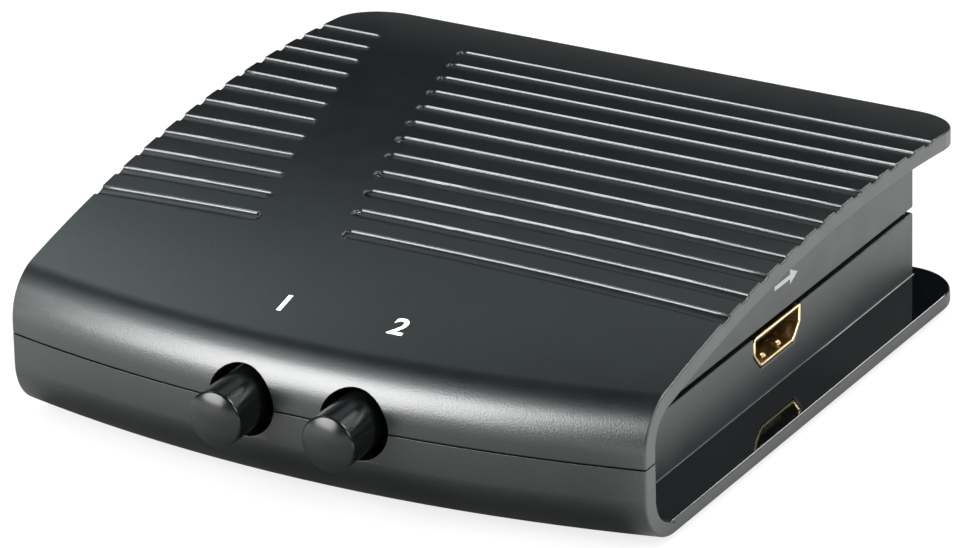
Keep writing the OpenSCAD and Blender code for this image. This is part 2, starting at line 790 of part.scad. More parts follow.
// Return spring: one round wire wound from the slider's seat to the cover, in rings of a few sides
spring_start_y = slider_rear_y - spring_seat + spring_wire / 2 + spring_clear / 2;
spring_l = switch_rear_y - spring_wire / 2 - spring_clear / 2 - spring_start_y;
spring_rings = 8;
spring_steps = spring_rings * spring_turns;
spring_sides = 6;
function spring_at(t) =
    [spring_d / 2 * cos(360 * t), spring_l * t / spring_turns, spring_d / 2 * sin(360 * t)];
function spring_ring(t) =
    let (out = [cos(360 * t), 0, sin(360 * t)])
    [for (s = [0 : spring_sides - 1])
        let (a = 360 * s / spring_sides)
        spring_at(t) + spring_wire / 2 * (out * cos(a) + [0, sin(a), 0])];
spring_points = [for (k = [0 : spring_steps]) each spring_ring(k / spring_rings)];
spring_last = spring_steps * spring_sides;
spring_faces = [
    for (k = [0 : spring_steps - 1], s = [0 : spring_sides - 1])
        let (
            a = k * spring_sides + s,
            b = k * spring_sides + (s + 1) % spring_sides,
            c = a + spring_sides,
            d = b + spring_sides
        )
        each [[a, b, d], [a, d, c]],
    for (s = [1 : spring_sides - 2]) [0, s + 1, s],
    for (s = [1 : spring_sides - 2]) [spring_last, spring_last + s, spring_last + s + 1]
];
spring_gap = min([
    for (i = [0 : spring_steps], j = [0 : spring_steps])
        if (j > i + spring_rings / 2)
            norm(spring_at(i / spring_rings) - spring_at(j / spring_rings)) - spring_wire
]);
echo(least_gap_between_spring_turns = spring_gap);

module switch_spring(x) color([0.75, 0.76, 0.78]) {
    translate([x, spring_start_y, button_z]) polyhedron(spring_points, spring_faces);
}

module button_1_cap() button_cap(button_x[0]);
module button_1_plunger() button_plunger(button_x[0]);
module button_1_contact() button_contact(button_x[0]);
module switch_1_housing() switch_housing(button_x[0]);
module switch_1_cover() switch_cover(button_x[0]);
module switch_1_spring() switch_spring(button_x[0]);
module switch_1_terminals() switch_terminals(button_x[0]);
module button_2_cap() button_cap(button_x[1]);
module button_2_plunger() button_plunger(button_x[1]);
module button_2_contact() button_contact(button_x[1]);
module switch_2_housing() switch_housing(button_x[1]);
module switch_2_cover() switch_cover(button_x[1]);
module switch_2_spring() switch_spring(button_x[1]);
module switch_2_terminals() switch_terminals(button_x[1]);

top_cover();
base_cover();
rubber_feet();
case_screws();
main_board();
board_screws();
switch_chip();
chip_leads();
capacitors();
resistors();
output_shell();
output_insert();
output_contacts();
input_1_shell();
input_1_insert();
input_1_contacts();
input_2_shell();
input_2_insert();
input_2_contacts();
button_1_cap();
button_1_plunger();
button_1_contact();
button_2_cap();
button_2_plunger();
button_2_contact();
switch_1_housing();
switch_1_cover();
switch_1_spring();
switch_1_terminals();
switch_2_housing();
switch_2_cover();
switch_2_spring();
switch_2_terminals();
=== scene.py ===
import json
from math import asin, atan2, cos, pi, radians, sin, sqrt

import bmesh
import bpy
from mathutils import Matrix, Vector


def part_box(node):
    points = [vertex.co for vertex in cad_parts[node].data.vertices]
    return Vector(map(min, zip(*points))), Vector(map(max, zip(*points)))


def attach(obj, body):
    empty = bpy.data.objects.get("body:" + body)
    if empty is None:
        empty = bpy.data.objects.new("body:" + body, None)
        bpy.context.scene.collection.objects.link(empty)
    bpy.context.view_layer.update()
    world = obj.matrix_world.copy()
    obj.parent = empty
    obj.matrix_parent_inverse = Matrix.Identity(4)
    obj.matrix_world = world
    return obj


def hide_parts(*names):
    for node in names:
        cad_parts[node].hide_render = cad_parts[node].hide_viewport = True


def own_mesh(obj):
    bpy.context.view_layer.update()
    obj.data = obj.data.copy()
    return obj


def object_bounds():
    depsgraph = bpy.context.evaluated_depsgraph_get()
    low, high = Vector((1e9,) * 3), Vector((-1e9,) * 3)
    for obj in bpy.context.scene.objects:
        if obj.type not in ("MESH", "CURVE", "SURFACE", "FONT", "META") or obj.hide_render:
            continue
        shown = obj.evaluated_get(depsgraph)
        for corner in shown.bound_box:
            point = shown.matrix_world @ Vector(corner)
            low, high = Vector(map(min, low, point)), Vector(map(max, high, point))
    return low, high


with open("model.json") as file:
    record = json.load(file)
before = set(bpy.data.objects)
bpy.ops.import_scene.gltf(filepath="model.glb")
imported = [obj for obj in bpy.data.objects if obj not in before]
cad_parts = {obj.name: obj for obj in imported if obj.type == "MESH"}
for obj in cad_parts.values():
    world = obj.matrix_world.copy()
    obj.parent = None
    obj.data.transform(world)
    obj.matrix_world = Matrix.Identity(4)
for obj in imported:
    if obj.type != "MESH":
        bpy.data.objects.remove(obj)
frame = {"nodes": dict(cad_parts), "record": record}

cadLow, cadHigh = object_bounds()
mm = 0.001
touch = 0.01 * mm  # nearer than this counts as the same place
squarely = 0.7  # a face counts as facing a way when its normal lies this far along it
up = Vector((0, 0, 1))


def deselect():
    if bpy.context.object and bpy.context.object.mode != "OBJECT":
        bpy.ops.object.mode_set(mode="OBJECT")
    bpy.ops.object.select_all(action="DESELECT")


def activate(obj):
    deselect()
    obj.select_set(True)
    bpy.context.view_layer.objects.active = obj
    return obj


def editAll(obj):
    activate(obj)
    bpy.ops.object.mode_set(mode="EDIT")
    bpy.ops.mesh.select_mode(type="VERT")
    bpy.ops.mesh.select_all(action="SELECT")


def applyModifiers(obj):
    activate(obj)
    for modifier in list(obj.modifiers):
        bpy.ops.object.modifier_apply(modifier=modifier.name)


def sitAtOrigin(obj):
    activate(obj)
    bpy.ops.object.transform_apply(location=True, rotation=True, scale=True)


def newPiece(name):
    obj = bpy.context.object
    obj.name = name
    obj.data.name = name
    return obj


def joinPieces(pieces, name):
    activate(pieces[0])
    for piece in pieces[1:]:
        piece.select_set(True)
    bpy.ops.object.join()
    return newPiece(name)


# Camera at the photograph's viewing angle
shot = {
    "width": 960,  # photograph's width in pixels
    "focal": 7493.5,  # focal length in those pixels
    "azimuth": radians(29.944),
    "elevation": radians(23.8),
    "roll": radians(-1.364),
    "distance": 1.11676,
    "target": Vector((0.00020, 0.00142, 0.01606)),
    "sensor": 36,
    "clip": (0.05, 50),
}


def directionTo(azimuth, elevation):
    return Vector((sin(azimuth) * cos(elevation), -cos(azimuth) * cos(elevation), sin(elevation)))


def addCamera():
    back = directionTo(shot["azimuth"], shot["elevation"])
    right = Vector((cos(shot["azimuth"]), sin(shot["azimuth"]), 0))
    right = Matrix.Rotation(shot["roll"], 3, back) @ right
    facing = Matrix((right, back.cross(right), back)).transposed()
    place = shot["target"] + back * shot["distance"]
    bpy.ops.object.camera_add(location=place, rotation=facing.to_euler())
    camera = newPiece("camera")
    camera.data.sensor_width = shot["sensor"]
    camera.data.lens = shot["focal"] / shot["width"] * shot["sensor"]
    camera.data.clip_start, camera.data.clip_end = shot["clip"]
    bpy.context.scene.camera = camera


deselect()
addCamera()
bpy.context.scene.view_settings.view_transform = "Standard"
print("camera set")


# Studio: softboxes by azimuth and elevation round the box, a dim room and a white floor whose glow holds
# a painted contact shadow and painted reflections
cool = (0.9, 1, 1.02)
softboxes = {
    "keySoftbox": {
        "azimuth": -28, "elevation": 24, "distance": 0.9,
        "width": 0.58, "height": 0.64, "watts": 19.5,
    },
    "fillSoftbox": {
        "azimuth": -45, "elevation": 44, "distance": 1.1,
        "width": 0.9, "height": 0.7, "watts": 4.6, "colour": cool,
    },
    "rearSoftbox": {
        "azimuth": -148, "elevation": 45, "distance": 1,
        "width": 0.75, "height": 0.29, "watts": 0.47, "colour": cool,
    },
    "leftSoftbox": {
        "azimuth": -120, "elevation": 40, "distance": 1,
        "width": 0.3, "height": 0.3, "watts": 0.52, "colour": cool,
    },
    "lowSoftbox": {
        "azimuth": 152, "elevation": 8, "distance": 1,
        "width": 0.55, "height": 0.25, "watts": 0.8,
    },
    "printSoftbox": {
        "azimuth": 76, "elevation": 30, "distance": 1,
        "width": 0.9, "height": 0.35, "watts": 6,
    },
    "rimSoftbox": {
        "azimuth": 128, "elevation": 52, "distance": 1,
        "width": 0.3, "height": 0.3, "watts": 10,
    },
    "edgeSoftbox": {
        "azimuth": 152, "elevation": 29, "distance": 1,
        "width": 0.3, "height": 0.25, "watts": 0.4,
    },
    "buttonSoftbox": {
        "azimuth": 170, "elevation": 33, "distance": 1,
        "width": 0.2, "height": 0.15, "watts": 1.5,
    },
}
floorLook = {
    "size": 8,
    "colour": (0.1, 0.1, 0.1, 1),
    "roughness": 0.9,
    "glow": 0.97,  # white of the background
    "shadowReach": 24 * mm,
    "contact": (0.8, 1),  # how far the painted contact shadow darkens the white
    "mirroredContact": 4,  # and how sharply it darkens the painted reflection
    "nearFar": (-62 * mm, -150 * mm),  # painted reflection: in front the floor's mirrored glow grows brighter with distance
    "nearFarGlow": (1.1, 2.2),
    # painted reflection: the mirrored glow is brighter on the left than on the right
    "across": (-100 * mm, 60 * mm),
    "paintedReflectionShare": (1.2, 0.45),
    "spill": (48 * mm, 60 * mm),  # painted light: right of the box the mirrored glow is brighter
    "spillGlow": (0, 1.5),
}
roomLook = {
    "horizon": (0.002, 0.0025, 0.003, 1),
    "ceiling": (0.004, 0.0045, 0.005, 1),
    "heights": (0.3, 0.95),
}


def addSoftbox(name, box):
    aim = Vector((0, 0, cadHigh.z / 2))
    back = directionTo(radians(box["azimuth"]), radians(box["elevation"]))
    turn = back.to_track_quat("Z", "Y").to_euler()
    bpy.ops.object.light_add(type="AREA", location=aim + back * box["distance"], rotation=turn)
    lamp = newPiece(name)
    lamp.data.shape = "RECTANGLE"
    lamp.data.size = box["width"]
    lamp.data.size_y = box["height"]
    lamp.data.energy = box["watts"]
    lamp.data.color = box.get("colour", (1, 1, 1))
    lamp.visible_camera = False


def addWorld():
    world = bpy.data.worlds.new("studioRoom")
    bpy.context.scene.world = world
    world.use_nodes = True
    nodes, links = world.node_tree.nodes, world.node_tree.links
    place = nodes.new("ShaderNodeTexCoord")
    split = nodes.new("ShaderNodeSeparateXYZ")
    ramp = nodes.new("ShaderNodeValToRGB")
    links.new(place.outputs["Generated"], split.inputs[0])
    links.new(split.outputs["Z"], ramp.inputs["Fac"])
    for stop, height, part in zip(ramp.color_ramp.elements, roomLook["heights"], ("horizon", "ceiling")):
        stop.position = height
        stop.color = roomLook[part]
    links.new(ramp.outputs["Color"], nodes["Background"].inputs["Color"])


def mathNode(nodes, links, operation, first, second):
    node = nodes.new("ShaderNodeMath")
    node.operation = operation
    links.new(first, node.inputs[0])
    if isinstance(second, (int, float)):
        node.inputs[1].default_value = second
    else:
        links.new(second, node.inputs[1])
    return node.outputs[0]


def mapRange(nodes, links, value, source, target):
    node = nodes.new("ShaderNodeMapRange")
    node.inputs["From Min"].default_value = source[0]
    node.inputs["From Max"].default_value = source[1]
    node.inputs["To Min"].default_value = target[0]
    node.inputs["To Max"].default_value = target[1]
    links.new(value, node.inputs["Value"])
    return node.outputs["Result"]


def addFloor():
    bpy.ops.mesh.primitive_plane_add(size=floorLook["size"])
    floor = newPiece("studioFloor")
    paint = bpy.data.materials.new("whiteFloor")
    paint.use_nodes = True
    nodes, links = paint.node_tree.nodes, paint.node_tree.links
    shader = nodes["Principled BSDF"]
    shader.inputs["Base Color"].default_value = floorLook["colour"]
    shader.inputs["Roughness"].default_value = floorLook["roughness"]
    shader.inputs["Specular IOR Level"].default_value = 0
    shader.inputs["Emission Color"].default_value = (1, 1, 1, 1)
    ray = nodes.new("ShaderNodeLightPath")
    contact = nodes.new("ShaderNodeAmbientOcclusion")  # painted contact shadow in the glow
    contact.inputs["Distance"].default_value = floorLook["shadowReach"]
    shadow = mapRange(nodes, links, contact.outputs["AO"], (0, 1), floorLook["contact"])
    seen = mathNode(nodes, links, "MULTIPLY", ray.outputs["Is Camera Ray"], shadow)
    seen = mathNode(nodes, links, "MULTIPLY", seen, floorLook["glow"])
    # painted reflection: the glow that mirrored and refracted rays see is graded by place on the floor
    place = nodes.new("ShaderNodeTexCoord")
    split = nodes.new("ShaderNodeSeparateXYZ")
    links.new(place.outputs["Object"], split.inputs[0])
    spill = mapRange(nodes, links, split.outputs["X"], floorLook["spill"], floorLook["spillGlow"])
    across = mapRange(nodes, links, split.outputs["X"], floorLook["across"], floorLook["paintedReflectionShare"])
    paintedReflection = mapRange(nodes, links, split.outputs["Y"], floorLook["nearFar"], floorLook["nearFarGlow"])
    paintedReflection = mathNode(nodes, links, "MULTIPLY", paintedReflection, across)
    deepShadow = mathNode(nodes, links, "POWER", contact.outputs["AO"], floorLook["mirroredContact"])
    paintedReflection = mathNode(nodes, links, "MULTIPLY", paintedReflection, deepShadow)
    paintedReflection = mathNode(nodes, links, "ADD", paintedReflection, spill)
    glossy, through = ray.outputs["Is Glossy Ray"], ray.outputs["Is Transmission Ray"]
    mirrored = mathNode(nodes, links, "ADD", glossy, through)
    mirrored = mathNode(nodes, links, "MULTIPLY", mirrored, paintedReflection)
    links.new(mathNode(nodes, links, "ADD", seen, mirrored), shader.inputs["Emission Strength"])
    floor.data.materials.append(paint)


addWorld()
addFloor()
for name, box in softboxes.items():
    addSoftbox(name, box)
print("studio set")


# Finishes: two shades mottled together, a roughness spread and a fine grain, all by place on the piece
finishes = {
    "casePlastic": {  # spark-eroded outside of the case
        "shades": [(0.0015, 0.0026, 0.0029), (0.0022, 0.0036, 0.0039)],
        "mottle": 6 * mm,
        "roughness": (0.305, 0.325),
        "specular": 0.75,
        "grain": 0.24 * mm,
        "depth": 0.025 * mm,
    },
    "wallPlastic": {  # smooth walls and plate edges
        "shades": [(0.008, 0.0115, 0.012), (0.011, 0.0145, 0.015)],
        "mottle": 5 * mm,
        "roughness": (0.48, 0.54),
        "specular": 0.75,
        "grain": 0.4 * mm,
        "depth": 0.0015 * mm,
    },
    "polishedPlastic": {  # mirror-polished floor of the recess
        "shades": [(0.002, 0.003, 0.0036), (0.003, 0.004, 0.0046)],
        "mottle": 5 * mm,
        "roughness": (0.03, 0.05),
        "grain": 0.6 * mm,
        "depth": 0.0001 * mm,
    },
    "capPlastic": {
        "shades": [(0.002, 0.0026, 0.0028), (0.003, 0.0036, 0.0038)],
        "mottle": 3 * mm,
        "roughness": (0.2, 0.24),
        "specular": 0.35,
        "grain": 0.4 * mm,
        "depth": 0.0008 * mm,
    },
    "footRubber": {
        "shades": [(0.015, 0.015, 0.015), (0.030, 0.030, 0.031)],
        "mottle": 1.2 * mm,
        "roughness": (0.7, 0.9),
        "grain": 0.2 * mm,
        "depth": 0.015 * mm,
    },
    "screwSteel": {
        "shades": [(0.42, 0.42, 0.44), (0.58, 0.58, 0.59)],
        "mottle": 0.8 * mm,
        "roughness": (0.25, 0.45),
        "grain": 0.1 * mm,
        "depth": 0.002 * mm,
        "metallic": 1,
    },
    "chipResin": {
        "shades": [(0.012, 0.012, 0.013), (0.022, 0.022, 0.024)],
        "mottle": 0.3 * mm,
        "roughness": (0.5, 0.65),
        "grain": 0.12 * mm,
        "depth": 0.006 * mm,
    },
    "tinnedLeads": {
        "shades": [(0.55, 0.56, 0.57), (0.72, 0.72, 0.72)],
        "mottle": 0.5 * mm,
        "roughness": (0.22, 0.42),
        "grain": 0.15 * mm,
        "depth": 0.002 * mm,
        "metallic": 1,
    },
    "canAluminium": {
        "shades": [(0.66, 0.67, 0.68), (0.80, 0.80, 0.81)],
        "mottle": 1.5 * mm,
        "roughness": (0.22, 0.34),
        "grain": 0.1 * mm,
        "depth": 0.001 * mm,
        "metallic": 1,
    },
    "chipCeramic": {
        "shades": [(0.02, 0.02, 0.022), (0.05, 0.05, 0.055)],
        "mottle": 0.4 * mm,
        "roughness": (0.3, 0.5),
        "grain": 0.08 * mm,
        "depth": 0.002 * mm,
    },
    "socketGold": {
        "shades": [(0.86, 0.66, 0.34), (0.95, 0.76, 0.44)],
        "mottle": 1.2 * mm,
        "roughness": (0.16, 0.26),
        "grain": 0.12 * mm,
        "depth": 0.0012 * mm,
        "metallic": 1,
    },
    "contactGold": {
        "shades": [(0.88, 0.62, 0.26), (0.96, 0.73, 0.36)],
        "mottle": 0.6 * mm,
        "roughness": (0.2, 0.3),
        "grain": 0.1 * mm,
        "depth": 0.001 * mm,
        "metallic": 1,
    },
    "insertPlastic": {
        "shades": [(0.05, 0.05, 0.05), (0.065, 0.065, 0.065)],
        "mottle": 0.8 * mm,
        "roughness": (0.2, 0.28),
        "specular": 0.9,
        "grain": 0.15 * mm,
        "depth": 0.002 * mm,
    },
    "plungerPlastic": {
        "shades": [(0.60, 0.56, 0.46), (0.70, 0.66, 0.56)],
        "mottle": 2 * mm,
        "roughness": (0.35, 0.5),
        "grain": 0.2 * mm,
        "depth": 0.003 * mm,
    },
    "bridgeBrass": {
        "shades": [(0.66, 0.46, 0.16), (0.82, 0.62, 0.28)],
        "mottle": 0.7 * mm,
        "roughness": (0.2, 0.4),
        "grain": 0.1 * mm,
        "depth": 0.002 * mm,
        "metallic": 1,
    },
    "switchPlastic": {
        "shades": [(0.030, 0.031, 0.034), (0.042, 0.043, 0.046)],
        "mottle": 2 * mm,
        "roughness": (0.4, 0.55),
        "grain": 0.2 * mm,
        "depth": 0.004 * mm,
    },
    "springSteel": {
        "shades": [(0.46, 0.46, 0.47), (0.62, 0.62, 0.62)],
        "mottle": 0.4 * mm,
        "roughness": (0.2, 0.35),
        "grain": 0.08 * mm,
        "depth": 0.001 * mm,
        "metallic": 1,
    },
    "legendInk": {
        "shades": [(0.80, 0.80, 0.79), (0.90, 0.90, 0.90)],
        "mottle": 0.5 * mm,
        "roughness": (0.45, 0.6),
        "grain": 0.12 * mm,
        "depth": 0.003 * mm,
    },
}


blotches = {"detail": 3, "shadeStops": (0.35, 0.65), "spread": (0.3, 0.7), "grainDetail": 2}


def addNoise(nodes, links, place, size, detail):
    noise = nodes.new("ShaderNodeTexNoise")
    noise.inputs["Scale"].default_value = 1 / size
    noise.inputs["Detail"].default_value = detail
    links.new(place.outputs["Object"], noise.inputs["Vector"])
    return noise


def makeFinish(name, look):
    material = bpy.data.materials.new(name)
    material.use_nodes = True
    nodes, links = material.node_tree.nodes, material.node_tree.links
    shader = nodes["Principled BSDF"]
    shader.inputs["Metallic"].default_value = look.get("metallic", 0)
    shader.inputs["Specular IOR Level"].default_value = look.get("specular", 0.5)
    place = nodes.new("ShaderNodeTexCoord")
    mottle = addNoise(nodes, links, place, look["mottle"], blotches["detail"])
    shades = nodes.new("ShaderNodeValToRGB")
    for stop, position, shade in zip(shades.color_ramp.elements, blotches["shadeStops"], look["shades"]):
        stop.position = position
        stop.color = (*shade, 1)
    links.new(mottle.outputs["Fac"], shades.inputs["Fac"])
    links.new(shades.outputs["Color"], shader.inputs["Base Color"])
    spread = mapRange(nodes, links, mottle.outputs["Fac"], blotches["spread"], look["roughness"])
    links.new(spread, shader.inputs["Roughness"])
    grain = addNoise(nodes, links, place, look["grain"], blotches["grainDetail"])
    bump = nodes.new("ShaderNodeBump")
    bump.inputs["Strength"].default_value = 1
    bump.inputs["Distance"].default_value = look["depth"]
    links.new(grain.outputs["Fac"], bump.inputs["Height"])
    links.new(bump.outputs["Normal"], shader.inputs["Normal"])
    return material


made = {}
for name, look in finishes.items():
    made[name] = makeFinish(name, look)


# Board: green mask over a faint grid of copper tracks
board = {
    "track": 2.5 * mm,
    "trackWidth": 0.08,  # of a track's pitch
    "mask": (0.004, 0.026, 0.011),
    "copper": (0.008, 0.05, 0.02),
}


def makeBoardFinish():
    look = {
        "shades": [board["mask"], board["copper"]],
        "mottle": 1 * mm,
        "roughness": (0.3, 0.45),
        "grain": 0.3 * mm,
        "depth": 0.002 * mm,
    }
    material = makeFinish("boardLaminate", look)
    nodes, links = material.node_tree.nodes, material.node_tree.links
    place = next(node for node in nodes if node.type == "TEX_COORD")
    tracks = nodes.new("ShaderNodeTexBrick")
    tracks.inputs["Scale"].default_value = 1 / board["track"]
    tracks.inputs["Mortar Size"].default_value = board["trackWidth"]
    tracks.inputs["Color1"].default_value = (*board["mask"], 1)
    tracks.inputs["Color2"].default_value = (*board["mask"], 1)
    tracks.inputs["Mortar"].default_value = (*board["copper"], 1)
    links.new(place.outputs["Object"], tracks.inputs["Vector"])
    links.new(tracks.outputs["Color"], nodes["Principled BSDF"].inputs["Base Color"])
    return material


made["boardLaminate"] = makeBoardFinish()
print("finishes made:", len(made))


def fitPiece(obj, body, node=None):
    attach(obj, body)
    if node:
        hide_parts(node)


# Shells: merged copies of the case's solids with their edges rounded
shells = {
    "edge": 0.28 * mm,  # rounding of the moulded edges
    "wallAt": 44 * mm,  # the walls and plate edges lie outside this
    "rearAt": 55.5 * mm,
    "plateTop": 4 * mm,  # the floor of the recess lies below this
    "toeAt": 2 * mm,
    "holeReach": 6.2 * mm,  # edges this near a button's axis belong to its hole
    "holeFront": -40 * mm,
    "holeShare": 0.3,  # of the rounding that a hole's edge gets
    "rimShare": 0.22,  # the grooves' rims stay crisp
    "grooveShare": 0.75,
    "seam": 14.3 * mm,  # where the two shells meet
    "seamReach": 0.1 * mm,
    "seamShare": 0.15,
    "plateShare": 1.8,  # the bottom plate's rim is rounder
    "plateFrom": -38 * mm,
    "plateFacing": 0.95,
    "groovesAbove": 20 * mm,
    "groovesFrom": -23 * mm,
    "groovesTo": 48 * mm,
}
groove = {
    "rise": 0.24 * mm,  # from the hollow's middle to its sides
    "steep": 1,  # edges turning further than this, in radians, bound a groove's floor
    "flat": 0.4,  # and edges turning less lie inside it
    "cuts": (-0.9, -0.75, -0.5, -0.25, 0, 0.25, 0.5, 0.75, 0.9),
    "endCuts": (0, 0.3, 0.6, 0.85),
}
cadCopy = {"merge": 0.05 * mm, "flat": radians(0.15)}
holeAxes = []
for number in (1, 2):
    low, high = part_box(f"button_{number}_cap")
    holeAxes.append((low + high) / 2)


def copyOfNode(node, name):
    deselect()
    obj = bpy.data.objects.new(name, frame["nodes"][node].data.copy())
    bpy.context.collection.objects.link(obj)
    obj.data.materials.clear()
    editAll(obj)
    bpy.ops.mesh.remove_doubles(threshold=cadCopy["merge"])
    bpy.ops.mesh.select_all(action="SELECT")
    bpy.ops.mesh.dissolve_limited(angle_limit=cadCopy["flat"])
    bpy.ops.object.mode_set(mode="OBJECT")
    return obj


def everywhere(edge):
    return 1


def roundEdges(obj, width, segments=3, angle=25, share=everywhere):
    shape = bmesh.new()
    shape.from_mesh(obj.data)
    weight = shape.edges.layers.float.new("bevel_weight_edge")
    for edge in shape.edges:
        if len(edge.link_faces) == 2 and edge.calc_face_angle() > radians(angle):
            edge[weight] = share(edge)
    shape.to_mesh(obj.data)
    shape.free()
    bevel = obj.modifiers.new("roundEdges", "BEVEL")
    bevel.width = width
    bevel.segments = segments
    bevel.limit_method = "WEIGHT"
    bevel.use_clamp_overlap = False
    applyModifiers(obj)
    bpy.ops.object.shade_smooth()
    even = obj.modifiers.new("evenNormals", "WEIGHTED_NORMAL")
    even.keep_sharp = True
    applyModifiers(obj)


def grooveEdge(place, edge):
    if place.z < shells["groovesAbove"] or abs(place.x) > cadHigh.x - shells["edge"]:
        return False
    if place.y < shells["groovesFrom"] or place.y > shells["groovesTo"]:
        return False
    return max(face.normal.z for face in edge.link_faces) > squarely


def grooveFloors(shape):
    floors, seen = [], set()
    for edge in shape.edges:
        if len(edge.link_faces) != 2 or edge.is_convex or edge.calc_face_angle() < groove["steep"]:
            continue
        if not grooveEdge((edge.verts[0].co + edge.verts[1].co) / 2, edge):
            continue
        floor = [max(edge.link_faces, key=lambda face: face.normal.z)]
        if floor[0] in seen:
            continue
        seen.add(floor[0])
        for face in floor:  # grows across the flat edges
            for side in face.edges:
                flat = len(side.link_faces) == 2 and side.calc_face_angle() < groove["flat"]
                for other in side.link_faces:
                    if flat and other not in seen:
                        seen.add(other)
                        floor.append(other)
        floors.append(floor)
    return floors


def facesMarked(shape, mark):
    return [face for face in shape.faces if face.material_index == mark]


def cutFaces(shape, mark, place, normal):
    faces = facesMarked(shape, mark)
    edges = {edge for face in faces for edge in face.edges}
    corners = {corner for face in faces for corner in face.verts}
    parts = [*faces, *edges, *corners]
    bmesh.ops.bisect_plane(shape, geom=parts, dist=touch, plane_co=place, plane_no=normal)


def hollowGroove(shape, mark):
    corners = {corner for face in facesMarked(shape, mark) for corner in face.verts}
    xs = [corner.co.x for corner in corners]
    ys = [corner.co.y for corner in corners]
    middle, half = (min(ys) + max(ys)) / 2, (max(ys) - min(ys)) / 2
    away = 1 if max(xs) > cadHigh.x - half else -1  # from the round end to the plate's edge
    turnX = min(xs) + half if away > 0 else max(xs) - half
    for share in groove["cuts"]:
        cutFaces(shape, mark, Vector((0, middle + share * half, 0)), Vector((0, 1, 0)))
    for share in groove["endCuts"]:
        cutFaces(shape, mark, Vector((turnX - away * share * half, 0, 0)), Vector((1, 0, 0)))
    faces = facesMarked(shape, mark)
    for corner in {corner for face in faces for corner in face.verts}:
        beyond = max(0, (turnX - corner.co.x) * away)
        reach = sqrt(beyond ** 2 + (corner.co.y - middle) ** 2) / half
        corner.co.z += groove["rise"] * min(1, reach) ** 2
    bmesh.ops.triangulate(shape, faces=faces)


def hollowGrooves(obj):
    shape = bmesh.new()
    shape.from_mesh(obj.data)
    floors = grooveFloors(shape)
    for mark, floor in enumerate(floors, 1):
        for face in floor:
            face.material_index = mark
    for mark in range(1, len(floors) + 1):
        hollowGroove(shape, mark)
    for face in shape.faces:
        face.material_index = 0
    shape.to_mesh(obj.data)
    shape.free()
    print("grooves hollowed:", len(floors))


def shellShare(edge):
    place = (edge.verts[0].co + edge.verts[1].co) / 2
    if grooveEdge(place, edge):
        return shells["rimShare"] if edge.is_convex else shells["grooveShare"]
    lower = min(face.calc_center_median().z for face in edge.link_faces)
    reach = shells["seamReach"]
    if abs(place.z - shells["seam"]) < reach and lower < shells["seam"] - reach:
        return shells["seamShare"]  # a dark line above a lit one
    facing = max(face.normal.z for face in edge.link_faces)
    atRim = shells["toeAt"] < place.z < shells["plateTop"] and place.y > shells["plateFrom"]
    if atRim and facing > shells["plateFacing"] and edge.is_convex:
        return shells["plateShare"]
    for axis in holeAxes:
        away = sqrt((place.x - axis.x) ** 2 + (place.z - axis.z) ** 2)
        if away < shells["holeReach"] and place.y < shells["holeFront"]:
            return shells["holeShare"]
    return 1


def paintShell(obj):
    for name in ("casePlastic", "wallPlastic", "polishedPlastic"):
        obj.data.materials.append(made[name])
    for face in obj.data.polygons:
        centre, normal = face.center, face.normal
        if normal.z > squarely and shells["toeAt"] < centre.z < shells["plateTop"]:
            face.material_index = 2
        atSide = abs(centre.x) > shells["wallAt"] or centre.y > shells["rearAt"]
        if atSide and max(abs(normal.x), normal.y) > squarely:
            face.material_index = 1


for node, name in (("top_cover", "topShell"), ("base_cover", "baseShell")):
    shell = copyOfNode(node, name)
    if node == "top_cover":
        hollowGrooves(shell)
    roundEdges(shell, shells["edge"], share=shellShare)
    paintShell(shell)
    fitPiece(shell, "case", node)
topShell = bpy.data.objects["topShell"]
print("shells made")


# Turned pieces: a profile of (along, radius) rows is drawn vertex by vertex, then spun round its axis
turned = {"merge": 0.001 * mm, "smooth": radians(35)}


def spinProfile(name, profile, start, axis, across, steps):
    points = [start + axis * along + across * radius for along, radius in profile]
    deselect()
    bpy.ops.mesh.primitive_plane_add(size=mm, location=points[0])
    obj = newPiece(name)
    sitAtOrigin(obj)
    editAll(obj)
    bpy.ops.mesh.merge(type="CENTER")
    for here, there in zip(points, points[1:]):
        bpy.ops.mesh.extrude_vertices_move(TRANSFORM_OT_translate={"value": there - here})
    bpy.ops.mesh.select_all(action="SELECT")
    bpy.ops.mesh.spin(steps=steps, angle=2 * pi, center=start, axis=axis)
    bpy.ops.mesh.select_all(action="SELECT")
    bpy.ops.mesh.remove_doubles(threshold=turned["merge"])
    bpy.ops.mesh.normals_make_consistent(inside=False)
    bpy.ops.object.mode_set(mode="OBJECT")
    bpy.ops.object.shade_smooth_by_angle(angle=turned["smooth"])
    return obj


# Button caps: a shallow dome that turns over a soft edge into the side
cap = {"domeRadius": 10 * mm, "edgeRadius": 0.5 * mm, "backBevel": 0.3 * mm, "arcSteps": 12, "turns": 96}


def capProfile(radius, length):
    dome, edge, steps = cap["domeRadius"], cap["edgeRadius"], cap["arcSteps"]
    inner = radius - edge
    edgeAlong = dome - sqrt((dome - edge) ** 2 - inner ** 2)
    tilt = asin(inner / (dome - edge))
    profile = []
    for step in range(steps):
        angle = tilt * step / steps
        profile.append((dome * (1 - cos(angle)), dome * sin(angle)))
    for step in range(steps + 1):
        angle = tilt + (pi / 2 - tilt) * step / steps
        profile.append((edgeAlong - edge * cos(angle), inner + edge * sin(angle)))
    profile.append((length - cap["backBevel"], radius))
    profile.append((length, radius - cap["backBevel"]))
    profile.append((length, 0))
    return profile


def makeCap(number):
    node = f"button_{number}_cap"
    low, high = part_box(node)
    middle = (low + high) / 2
    radius = (high.x - low.x) / 2
    profile = capProfile(radius, high.y - low.y)
    start = Vector((middle.x, low.y, middle.z))
    axis, across = Vector((0, 1, 0)), Vector((1, 0, 0))
    obj = spinProfile(f"buttonCap{number}", profile, start, axis, across, cap["turns"])
    obj.data.materials.append(made["capPlastic"])
    fitPiece(obj, f"button_{number}", node)


for number in (1, 2):
    makeCap(number)
print("button caps made")


